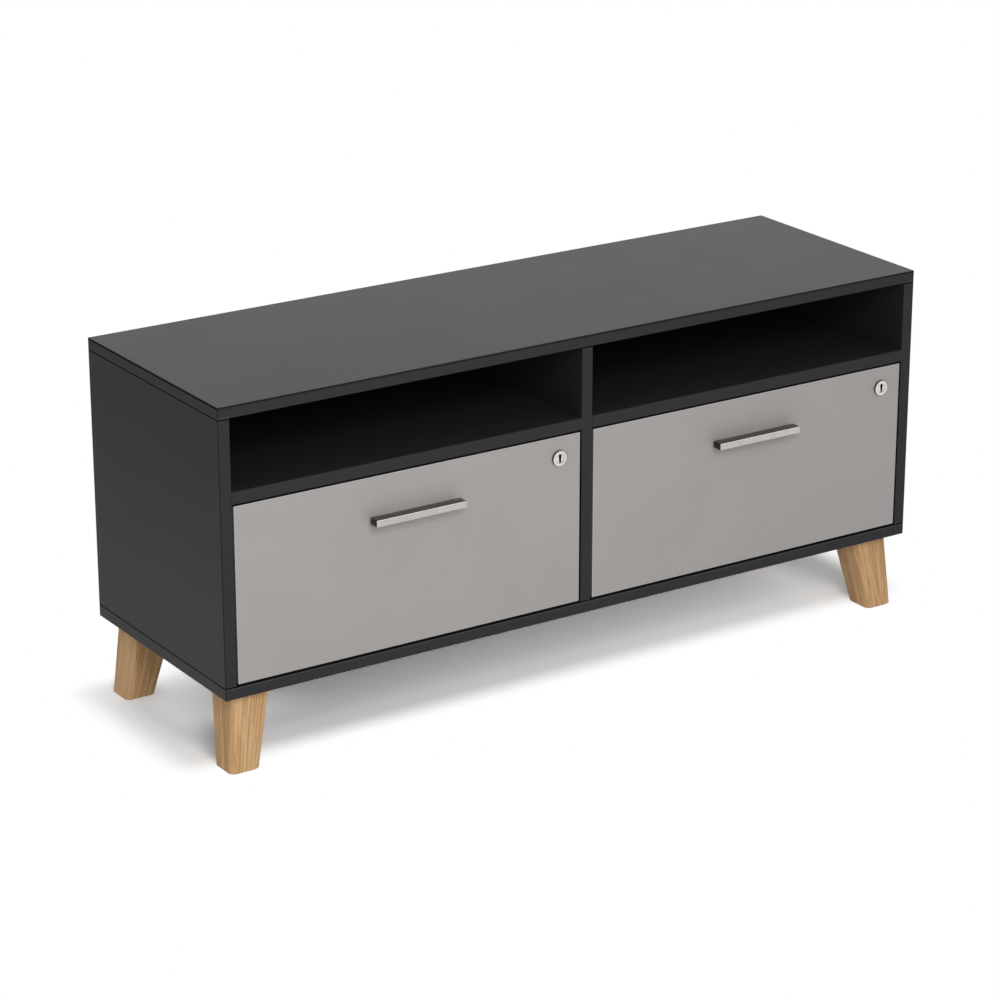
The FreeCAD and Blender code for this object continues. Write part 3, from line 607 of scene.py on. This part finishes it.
@dataclass
class Shell:
    """One closed skin with a finish number for each of its faces."""

    points: Array  # Vertices by 3.
    faces: Faces  # Faces as tuples of vertex numbers.
    finish: Array  # Number of each face's material slot.

    @classmethod
    def of_rings(cls, rings: Array, looped: bool = False, finish: int = 0) -> "Shell":
        """Skin over a row of rings that all have the same number of points.

        Point j of ring i is vertex i x n + j. Each face joins the points j and j + 1 of two rings
        that follow each other, and the last ring joins the first, or both end in a flat face.
        The faces are turned round where they point inwards.

        Args:
            rings: Array of rings by points by 3.
            looped: True where the row of rings closes on itself.
            finish: Material slot of all the faces.

        Returns:
            The shell.
        """
        count, size = rings.shape[:2]
        ring = np.arange(count if looped else count - 1)[:, None] * size
        after = (ring + size) % (count * size)
        here = np.arange(size)[None, :]
        beside = (here + 1) % size
        quads = np.stack([ring + here, ring + beside, after + beside, after + here], axis=2)
        faces = [tuple(quad) for quad in quads.reshape(-1, 4).tolist()]
        if not looped:
            faces.append(tuple(range(size - 1, -1, -1)))
            faces.append(tuple(range((count - 1) * size, count * size)))
        shell = cls(rings.reshape(-1, 3), faces, np.full(len(faces), finish))
        if shell.volume() < 0:
            shell.faces = [face[::-1] for face in faces]
        return shell

    def volume(self) -> float:
        """Volume inside the skin, negative where its faces point inwards.

        Each face is a fan of triangles about its first corner, and a triangle adds a sixth of
        the triple product of its corners.

        Returns:
            The volume.
        """
        fans = np.array([(face[0], a, b)
                         for face in self.faces for a, b in zip(face[1:-1], face[2:])])
        first, second, third = (self.points[fans[:, corner]] for corner in range(3))
        return float(np.einsum("ij,ij->i", first, np.cross(second, third)).sum() / 6)

    def normals(self) -> Array:
        """Unit normal of each face, from the cross product of its diagonals.

        Returns:
            Array of faces by 3.
        """
        corners = np.array([[face[0], face[len(face) // 3], face[len(face) // 2], face[-1]]
                            for face in self.faces])
        a, b, c, d = (self.points[corners[:, corner]] for corner in range(4))
        normal = np.cross(c - a, d - b)
        return normal / np.maximum(np.linalg.norm(normal, axis=1, keepdims=True), 1e-12)


def add_object(name: str, data: bpy.types.ID) -> Piece:
    """Adds an object to the scene.

    Args:
        name: Name of the object.
        data: Its mesh, light or camera.

    Returns:
        The new object, at the origin.
    """
    piece = bpy.data.objects.new(name, data)
    bpy.context.scene.collection.objects.link(piece)
    return piece


def make_piece(name: str, shells: list[Shell], finishes: list[Finish]) -> Piece:
    """Object from shells, shaded smooth but for its sharp edges.

    Args:
        name: Name of the piece.
        shells: Closed skins that make it up.
        finishes: Its finishes, in the order of the shells' finish numbers.

    Returns:
        The new object, at the origin.
    """
    starts = np.cumsum([0] + [len(shell.points) for shell in shells])
    faces = [tuple(corner + int(start) for corner in face)
             for shell, start in zip(shells, starts) for face in shell.faces]
    mesh = bpy.data.meshes.new(name)
    mesh.from_pydata(np.concatenate([shell.points for shell in shells]).tolist(), [], faces)
    for finish in finishes:
        mesh.materials.append(finish.material())
    numbers = np.concatenate([shell.finish for shell in shells]).astype(np.int32)
    mesh.polygons.foreach_set("material_index", numbers)
    mesh.polygons.foreach_set("use_smooth", np.ones(len(faces), dtype=bool))
    mesh.set_sharp_from_angle(angle=math.radians(SHARP_DEGREES))
    mesh.validate()
    mesh.update()
    return add_object(name, mesh)


def write_vectors(piece: Piece, name: str, parts: list[Array]) -> None:
    """Gives a piece a point attribute of vectors, from an array for each of their three parts."""
    attribute = piece.data.attributes.new(name, "FLOAT_VECTOR", "POINT")
    attribute.data.foreach_set("vector", np.stack(parts, axis=1).astype(np.float32).ravel())


def mount(piece: Piece, body: str, node: str) -> None:
    """Lets a piece ride on a body in the place of a CAD node.

    Args:
        piece: The piece.
        body: Body that carries it.
        node: CAD node that it stands for.
    """
    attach(piece, body)
    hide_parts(node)
    LOG.info("%s: %d faces, rides on %s", piece.name, len(piece.data.polygons), body)


# ---------- sub-assemblies


@dataclass
class SplayedLeg:
    """Oak leg that narrows and leans outwards towards its foot."""

    node: str  # CAD node that the leg stands for.
    top_x: float  # Middle of its top, across.
    top_y: float  # Middle of its top, from front to back.
    out_x: int  # Way in which it leans across, minus or plus one.
    out_y: int  # Way in which it leans from front to back.
    grain_shift: float  # Part of the tree that it was cut from, so that no two legs are alike.
    height: float = 0.118  # Height under the base.
    top_side: float = 0.063  # Side of its square top.
    foot_side: float = 0.048  # Side of its square foot.
    lean: float = 0.017  # How far its foot stands outside its top, along each axis.
    corner_radius: float = 0.009  # Radius of its upright corners.
    foot_chamfer: float = 0.0015  # Size of the chamfer round its foot.
    shaft_rings: int = 12  # Number of rings above the chamfer.
    corner_steps: int = 7  # Points on each upright corner.

    def centre(self, heights: Array) -> tuple[Array, Array]:
        """Middle of the leg at each height: the lean grows evenly from the top to the foot."""
        out = self.lean * (1 - heights / self.height)
        return self.top_x + self.out_x * out, self.top_y + self.out_y * out

    def side(self, heights: Array) -> Array:
        """Side of the leg at each height, which shrinks evenly towards the foot."""
        return self.foot_side + (self.top_side - self.foot_side) * heights / self.height

    def shell(self) -> Shell:
        """Skin of the leg.

        A ring is a rounded square about the leaning middle. The shaft is an even row of
        heights, and at the foot two more rings follow the chamfer down and inwards.

        Returns:
            The shell.
        """
        shaft = np.linspace(self.height, self.foot_chamfer, self.shaft_rings)
        inset = self.foot_chamfer * np.array([0.5, 1.0])
        heights = np.concatenate([shaft, self.foot_chamfer - inset])
        half = self.side(heights) / 2 - np.concatenate([np.zeros(self.shaft_rings), inset])
        outlines = rounded_rectangle(np.stack([half, half], axis=1), self.corner_radius,
                                     self.corner_steps)
        return Shell.of_rings(rings_at(outlines, (*self.centre(heights), heights), [0, 1]))

    def build(self) -> None:
        """Makes the leg, with its grain, in place of its CAD node.

        The grain's coordinates are the place across the leaning middle, and the height. The
        place across is stretched by the top's side over the side at that height, so that the
        grain runs straight down each face of the taper.
        """
        shell = self.shell()
        piece = make_piece("oak_" + self.node, [shell], [LEG_OAK])
        x, y, z = shell.points.T
        centre_x, centre_y = self.centre(z)
        stretch = self.top_side / self.side(z)
        write_vectors(piece, "grain", [(x - centre_x) * stretch + self.grain_shift,
                                       (y - centre_y) * stretch + 2 * self.grain_shift, z])
        mount(piece, "cabinet", self.node)


@dataclass
class BarHandle:
    """Square bar on two round posts, brushed in front, with painted shade on its other sides and a
    painted highlight on its upper front arris.
    """

    side: Side  # Drawer that carries it.
    depth: float = 0.018  # Depth of the bar.
    ease: float = 0.0009  # Radius of its edges.
    ease_left: float = 0.02  # Least share of that radius that is left at the bar's ends.
    ease_steps: int = 5  # Points on each eased edge.
    shaft_rings: int = 9  # Number of rings from end to end.
    post_radius: float = 0.003  # Radius of a post.
    post_steps: int = 8  # Points on each quarter of a post.
    post_rings: int = 4  # Number of rings along a post.
    post_drop: float = 0.0012  # How far the posts lie below the bar's middle.
    post_spacing: float = 0.128  # Distance between the posts.
    # Least part of a normal: forwards in front, across at an end, and both ways on the arris.
    facing: tuple[float, float, float] = (0.35, 0.7, 0.3)

    def bar(self, low: Array, high: Array) -> Shell:
        """Skin of the bar.

        A rounded rectangle is carried along the bar. Near each end it is drawn in by the radius
        times one minus the sine of an angle, while its place follows one minus the cosine.

        Args:
            low: Lowest corner of the bar.
            high: Highest corner of the bar.

        Returns:
            The shell: finish 0 in front, 2 with painted shade on the two ends, 3 with a painted
                highlight on the arris between the front and the upper side, and 1 with painted
                shade on the other sides.
        """
        angle = np.linspace(0, math.pi / 2, self.ease_steps)
        inset = self.ease * (1 - np.sin(angle))
        along = self.ease * (1 - np.cos(angle))
        shaft = np.linspace(low[0], high[0], self.shaft_rings)[1:-1]
        places = np.concatenate([low[0] + along, shaft, high[0] - along[::-1]])
        insets = np.concatenate([inset, np.zeros(len(shaft)), inset[::-1]])
        reach = np.maximum(self.ease - insets, self.ease * self.ease_left)
        centre = (high + low) / 2
        outlines = rounded_rectangle((high - low)[1:] / 2 - self.ease + reach[:, None], reach,
                                     self.ease_steps)
        shell = Shell.of_rings(rings_at(outlines, (places, centre[1], centre[2]), [1, 2]))
        across, back, up = shell.normals().T
        front, end, arris = self.facing
        # Painted shade on the sides and ends, painted highlight on the arris.
        shell.finish = np.where(-back > front, 0, np.where(np.abs(across) > end, 2, 1))
        shell.finish[(-back > arris) & (up > arris)] = 3
        return shell

    def build(self) -> None:
        """Makes the handle in place of its CAD node.

        A post is a circle carried from inside the bar to the drawer.
        """
        node = self.side.value + "_drawer_handle"
        low, high = np.array(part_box(node))
        bar_back = low[1] + self.depth
        shells = [self.bar(low, np.array([high[0], bar_back, high[2]]))]
        x, _, z = (low + high) / 2
        outline = circle(self.post_radius, self.post_steps)
        depths = np.linspace(bar_back - self.ease, high[1], self.post_rings)
        for reach in (-self.post_spacing / 2, self.post_spacing / 2):
            rings = rings_at(outline, (x + reach, depths, z - self.post_drop), [0, 2])
            shells.append(Shell.of_rings(rings, finish=1))
        piece = make_piece(self.side.value + "_bar_handle", shells,
                           [BY_SLOT[Slot.NICKEL], BAR_SHADED_SIDE, BAR_SHADED_END, BAR_HIGHLIGHT_ARRIS])
        mount(piece, self.side.value + "_drawer", node)


@dataclass
class DrawerLock:
    """Cylinder lock in a drawer front: a flanged barrel and a turning plug with a keyway."""

    side: Side  # Drawer that carries it.
    flange_radius: float = 0.0116  # Radius of the flange.
    flange_height: float = 0.004  # How far the flange stands out.
    rim_radius: float = 0.0012  # Radius of the flange's rounded rim.
    lip_radius: float = 0.0004  # Radius of the bore's rounded mouth.
    rim_steps: int = 6  # Points on the rim and on the mouth.
    facing: float = 0.5  # Least part of a normal forwards on the bright front.
    barrel_radius: float = 0.009  # Radius of the barrel.
    bore_radius: float = 0.007  # Radius of the bore that the plug turns in.
    plug_gap: float = 0.00008  # Gap round the plug.
    plug_recess: float = 0.0005  # How far the plug's face lies behind the flange's.
    plug_bevel: float = 0.0003  # Bevel round the plug's face.
    face_rings: int = 5  # Rings from the rim of the plug's face to the keyway.
    tang_side: float = 0.007  # Side of the square tang behind.
    tang_radius: float = 0.0004  # Radius of its corners.
    key_width: float = 0.0030  # Width of the keyway at its foot.
    key_head_width: float = 0.0048  # Width of its upper half.
    key_height: float = 0.0128  # Height of the keyway.
    key_corner: float = 2.6  # The width at its foot over the radius of its corners.
    key_rise: float = 0.25  # Share of the height, about its middle, in which the width grows.
    key_depth: float = 0.012  # Depth of the keyway.
    key_chamfer: float = 0.0003  # Depth of the chamfer round the keyway.
    key_inner: float = 0.97  # Share of the keyway's size that is left behind the chamfer.
    steps: int = 16  # Points on a quarter turn.

    def __post_init__(self) -> None:
        """Finds the lock's place by its CAD nodes."""
        self.barrel_node = self.side.value + "_drawer_lock_barrel"
        low, high = np.array(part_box(self.barrel_node))
        self.centre = (low + high) / 2
        self.rear_y = high[1]
        self.front_y = low[1] + self.flange_height
        self.tang_y, self.tang_end_y = (
            corner[1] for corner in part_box(self.side.value + "_lock_cam"))

    def carried(self, outlines: list[Array], depths: Array, looped: bool = False) -> Shell:
        """Skin over outlines about the lock's axis, each at its depth."""
        middle = (self.centre[0], depths, self.centre[2])
        return Shell.of_rings(rings_at(np.stack(outlines), middle, [0, 2]), looped)

    def barrel(self) -> Shell:
        """Skin of the flanged barrel.

        A closed profile of radius and depth is carried round the axis: out along the flange's
        back, round its rim by cosine and sine of an angle, in over its face, and through the bore.

        Returns:
            The shell, with finish 2, painted shade, on all the faces that don't look forwards.
        """
        rear_y, front_y = self.rear_y, self.front_y
        face_y = front_y - self.flange_height
        turn = np.linspace(0, math.pi / 2, self.rim_steps)
        lip = self.lip_radius
        radii = np.concatenate([
            [self.bore_radius, self.barrel_radius, self.barrel_radius, self.flange_radius],
            self.flange_radius - self.rim_radius * (1 - np.cos(turn)),
            self.bore_radius + lip * (1 - np.sin(turn))])
        depths = np.concatenate([
            [rear_y, rear_y, front_y, front_y], face_y + self.rim_radius * (1 - np.sin(turn)),
            face_y + lip * (1 - np.cos(turn))])
        outline = circle(1, self.steps)
        shell = self.carried([outline * radius for radius in radii], depths, True)
        # Painted shade: the flange's sides and the bore darker than its front.
        shell.finish = np.where(shell.normals()[:, 1] > -self.facing, 2, 0)
        return shell

    def keyway(self) -> Array:
        """Outline of the keyway: a rounded slot whose width grows smoothly into its upper half.

        Returns:
            Array of 4 x steps points by 2.
        """
        half = np.array([self.key_head_width, self.key_height]) / 2
        slot = rounded_rectangle(half, self.key_width / self.key_corner, self.steps)
        rise = np.clip(slot[:, 1] / self.key_height / self.key_rise + 0.5, 0, 1)
        share = self.key_width / self.key_head_width
        slot[:, 0] *= share + (1 - share) * rise * rise * (3 - 2 * rise)
        return slot

    def plug(self) -> Shell:
        """Skin of the plug.

        From behind: the square tang, the round plug, its face, and the keyway. The face is flat,
        and its rings pass from a circle to the keyway's outline by a share that grows evenly.

        Returns:
            The shell, with finish 1 inside the keyway.
        """
        face_y = self.front_y - self.flange_height + self.plug_recess
        radius = self.bore_radius - self.plug_gap
        bevel = self.plug_bevel
        tang = rounded_rectangle([self.tang_side / 2] * 2, self.tang_radius, self.steps)
        full, inner = circle(radius, self.steps), circle(radius - bevel, self.steps)
        slot = self.keyway()
        shares = np.linspace(0, 1, self.face_rings + 1)
        outlines = [tang, tang, full, full, *(inner * (1 - part) + slot * part for part in shares),
                    slot * self.key_inner, slot * self.key_inner]
        depths = np.array([self.tang_end_y, self.tang_y, self.tang_y, face_y + bevel,
                           *[face_y] * len(shares), face_y + self.key_chamfer,
                           face_y + self.key_depth])
        shell = self.carried(outlines, depths)
        walls = len(shell.faces) - 2
        shell.finish[walls - len(slot):walls] = 1
        shell.finish[-1] = 1
        return shell

    def build(self) -> None:
        """Makes the barrel and the plug in place of their CAD nodes.

        Each gets every point's radius, depth and angle about the axis, for the turned lines.
        """
        name = self.side.value
        for shell, piece_name, body, node in (
                (self.barrel(), "_lock_flange", "_drawer", self.barrel_node),
                (self.plug(), "_lock_face", "_lock", name + "_lock_plug")):
            piece = make_piece(name + piece_name, [shell], [BY_SLOT[Slot.CHROME], KEYWAY, BAR_SHADED_END])
            x, y, z = (shell.points - self.centre).T
            write_vectors(piece, "turned", [np.hypot(x, z), y, np.abs(np.arctan2(x, z))])
            mount(piece, name + body, node)


@dataclass
class Carcass:
    """Boards, fittings and drawer boxes, which keep their CAD shapes and get their finishes."""

    def dress(self) -> None:
        """Gives every CAD node the finish of its material slot."""
        for name, node in sorted(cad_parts.items()):
            for slot in node.material_slots:
                slot.material = BY_SLOT[Slot(slot.material.name.split(".")[0])].material()


# ---------- studio


@dataclass
class Studio:
    """White floor, soft light and colour management of the photograph."""

    floor_half: float = 30.0  # Half of the floor's side.
    floor_points: int = 9  # Points along each side of its grid.
    footprint_half: Span = (0.603, 0.135)  # Half of the footprint of the legs, across and deep.
    footprint_middle: Span = (0.0, 0.050)  # Middle of the footprint, across and deep.
    fade: Span = (0.0, 0.065)  # Distances outside it between which the floor's shading fades.
    sky: float = 0.44  # World's strength for diffuse light.
    key_place: Place = (-1.2, -3.0, 2.0)  # Place of the large lamp.
    key_target: Place = (0.0, -0.1, 0.3)  # Point that it faces.
    key_size: float = 1.6  # Side of the lamp.
    key_power: float = 62.0  # Its power in watts.
    floor_colour: float = 0.92  # Colour of the floor in diffuse light.
    floor_painted_light: Span = (1.75, 2.5)  # Factors of painted light on it where it is seen, in front and in the middle.
    lift_depths: Span = (-0.08, 0.04)  # Depths at which those factors hold.
    lift_across: Span = (0.84, 1.16)  # Further factors of painted light at the footprint's left and right end.
    end_painted_light: float = 1.45  # Factor of painted light on the colour outside the legs, in place of the others.
    end_places: Span = (0.50, 0.59)  # Distances from the middle where that factor takes over.
    glow: float = 0.75  # Share of painted light by which the floor is paler at the left, as if the sky lit it from there.
    glow_places: Span = (-0.32, -0.50)  # Places across between which that share grows.
    glow_depths: Span = (-0.05, 0.04)  # Depths between which that share grows.
    foot_place: Span = (-0.535, 0.145)  # Place in the rear left foot, whose oak warms the floor.
    foot_reach: Span = (0.13, 0.02)  # Distances from there between which the tint below grows.
    foot_tint: Colour = (0.935, 1.0, 1.07)  # Factors of a painted cool tint that cancels the oak's warm bounce light there.

    def painted_floor_light(self, graph: Graph, across: Socket, depth: Socket) -> Socket:
        """Colour of the floor where it is seen in the object's shadow, lifted unevenly by painted
        light and cooled by a painted tint near the rear left foot.

        Args:
            graph: Graph of the floor's material.
            across: Place across.
            depth: Place from front to back.

        Returns:
            The colour socket.
        """
        near, deep = (self.floor_colour * factor for factor in self.floor_painted_light)
        end = self.end_places[0]
        glow = graph.product(graph.remap(across, self.glow_places, (0, self.glow)),
                             graph.remap(depth, self.glow_depths))
        inner = graph.product(graph.remap(depth, self.lift_depths, (near, deep)),
                              graph.remap(across, (-end, end), self.lift_across),
                              graph.total(1, glow))
        ends = graph.remap(graph.absolute(across), self.end_places)
        value = graph.total(graph.product(inner, graph.less(1, ends)),
                            graph.product(ends, self.floor_colour * self.end_painted_light))
        # Painted cool tint near the rear left foot, against the oak's warm bounce light.
        offsets = (graph.less(*pair) for pair in zip((across, depth), self.foot_place))
        close = graph.remap(graph.length(*offsets), self.foot_reach)
        tint = graph.blend(close, WHITE, self.foot_tint)
        return graph.add("VectorMath", {0: value, 1: tint}, operation="MULTIPLY").outputs[0]

    def seen(self, graph: Graph) -> Socket:
        """One for rays of sight, reflection and transmission, and nought for diffuse light."""
        rays = graph.add("LightPath").outputs
        return graph.most(*(
            rays[f"Is {kind} Ray"] for kind in ("Camera", "Glossy", "Transmission")))

    def floor_material(self) -> Material:
        """Builds the floor's material: shaded near the object and plain white away from it.

        The distance outside the footprint is, along each axis, how far the place lies beyond it.

        Returns:
            The finished material.
        """
        material = bpy.data.materials.new("studio floor")
        graph = Graph(material)
        seen = self.seen(graph)
        across, depth, _ = graph.axes()
        beyond = (
            graph.most(graph.less(graph.absolute(graph.less(place, middle)), half), 0)
            for place, half, middle in zip(
                (across, depth), self.footprint_half, self.footprint_middle))
        away = graph.remap(graph.length(*beyond), self.fade)
        colour = graph.blend(seen, tinted(WHITE, self.floor_colour),
                             self.painted_floor_light(graph, across, depth))
        shaded = graph.add("BsdfDiffuse", {"Color": colour})
        white = graph.add("Emission", {"Color": WHITE, "Strength": 1.0})
        mixed = graph.add("MixShader", {0: graph.product(away, seen), 1: shaded.outputs[0],
                                        2: white.outputs[0]})
        graph.add("OutputMaterial", {"Surface": mixed.outputs[0]})
        return material

    def floor(self) -> None:
        """Lays the floor: a square grid at height nought."""
        count = self.floor_points
        row = np.linspace(-self.floor_half, self.floor_half, count)
        x, y = np.meshgrid(row, row, indexing="ij")
        points = np.stack([x, y, np.zeros_like(x)], axis=2).reshape(-1, 3)
        corner = (np.arange(count - 1)[:, None] * count + np.arange(count - 1)[None, :]).ravel()
        faces = np.stack([corner, corner + count, corner + count + 1, corner + 1], axis=1)
        mesh = bpy.data.meshes.new("floor")
        mesh.from_pydata(points.tolist(), [], faces.tolist())
        mesh.materials.append(self.floor_material())
        mesh.update()
        add_object("floor", mesh)

    def world(self) -> None:
        """Makes the world white where it is seen and softer as a source of light."""
        world = bpy.data.worlds.new("studio")
        bpy.context.scene.world = world
        graph = Graph(world)
        level = graph.remap(self.seen(graph), (0, 1), (self.sky, 1))
        background = graph.add("Background", {"Color": WHITE, "Strength": level})
        graph.add("OutputWorld", {"Surface": background.outputs[0]})

    def lamp(self) -> None:
        """Hangs the large soft lamp in front, to the left. Smooth faces don't reflect it."""
        light = bpy.data.lights.new("key", "AREA")
        light.shape = "SQUARE"
        light.size = self.key_size
        light.energy = self.key_power
        lamp = add_object("key", light)
        lamp.visible_glossy = False
        away = np.array(self.key_place) - np.array(self.key_target)
        lamp.location = self.key_place
        lamp.rotation_euler = (math.acos(away[2] / np.linalg.norm(away)), 0,
                               math.atan2(away[1], away[0]) + math.pi / 2)

    def build(self) -> None:
        """Sets up the floor, the world, the lamp and the colour management."""
        self.floor()
        self.world()
        self.lamp()
        bpy.context.scene.view_settings.view_transform = "Standard"
        LOG.info("studio: floor, world and lamp")


@dataclass
class PhotoCamera:
    """Camera at the photograph's place, found from the cabinet's corners in it."""

    place: Place = (-2.63223, -3.96049, 1.97297)  # Where it stands.
    yaw: float = 0.5807  # Angle of its view from +Y towards +X, in radians.
    pitch: float = 0.3496  # Angle of its view below the horizon, in radians.
    focal_pixels: float = 3388.87  # Focal length in pixels of the square frame.
    frame_pixels: float = 1000.0  # Side of the square frame in pixels.
    sensor: float = 36.0  # Width of the sensor in millimetres.
    clip: Span = (0.05, 200.0)  # Distances between which it sees.

    def build(self) -> None:
        """Makes the camera and gives it to the scene."""
        data = bpy.data.cameras.new("photo_camera")
        data.sensor_width = self.sensor
        data.lens = self.focal_pixels * self.sensor / self.frame_pixels
        data.clip_start, data.clip_end = self.clip
        camera = add_object("photo_camera", data)
        camera.location = self.place
        camera.rotation_euler = (math.pi / 2 - self.pitch, 0, -self.yaw)
        bpy.context.scene.camera = camera
        LOG.info("camera: lens %.1f mm", data.lens)


# ---------- main


def legs() -> list[SplayedLeg]:
    """The four legs, by the places of their tops.

    Returns:
        The legs.
    """
    top_x = 0.5495
    grain_step = 0.37
    made = []
    for end, top_y, out_y in (("front", -0.1265, -1), ("rear", 0.1525, 1)):
        for side, out_x in zip(Side, (-1, 1)):
            made.append(SplayedLeg(f"leg_{end}_{side.value}", out_x * top_x, top_y, out_x, out_y,
                                   grain_step * len(made)))
    return made


def main() -> None:
    """Builds every class in order."""
    logging.basicConfig(level=logging.INFO, format="%(name)s: %(message)s")
    PhotoCamera().build()
    Studio().build()
    Carcass().dress()
    for leg in legs():
        leg.build()
    for side in Side:
        BarHandle(side).build()
        DrawerLock(side).build()


if __name__ == "__main__":
    main()
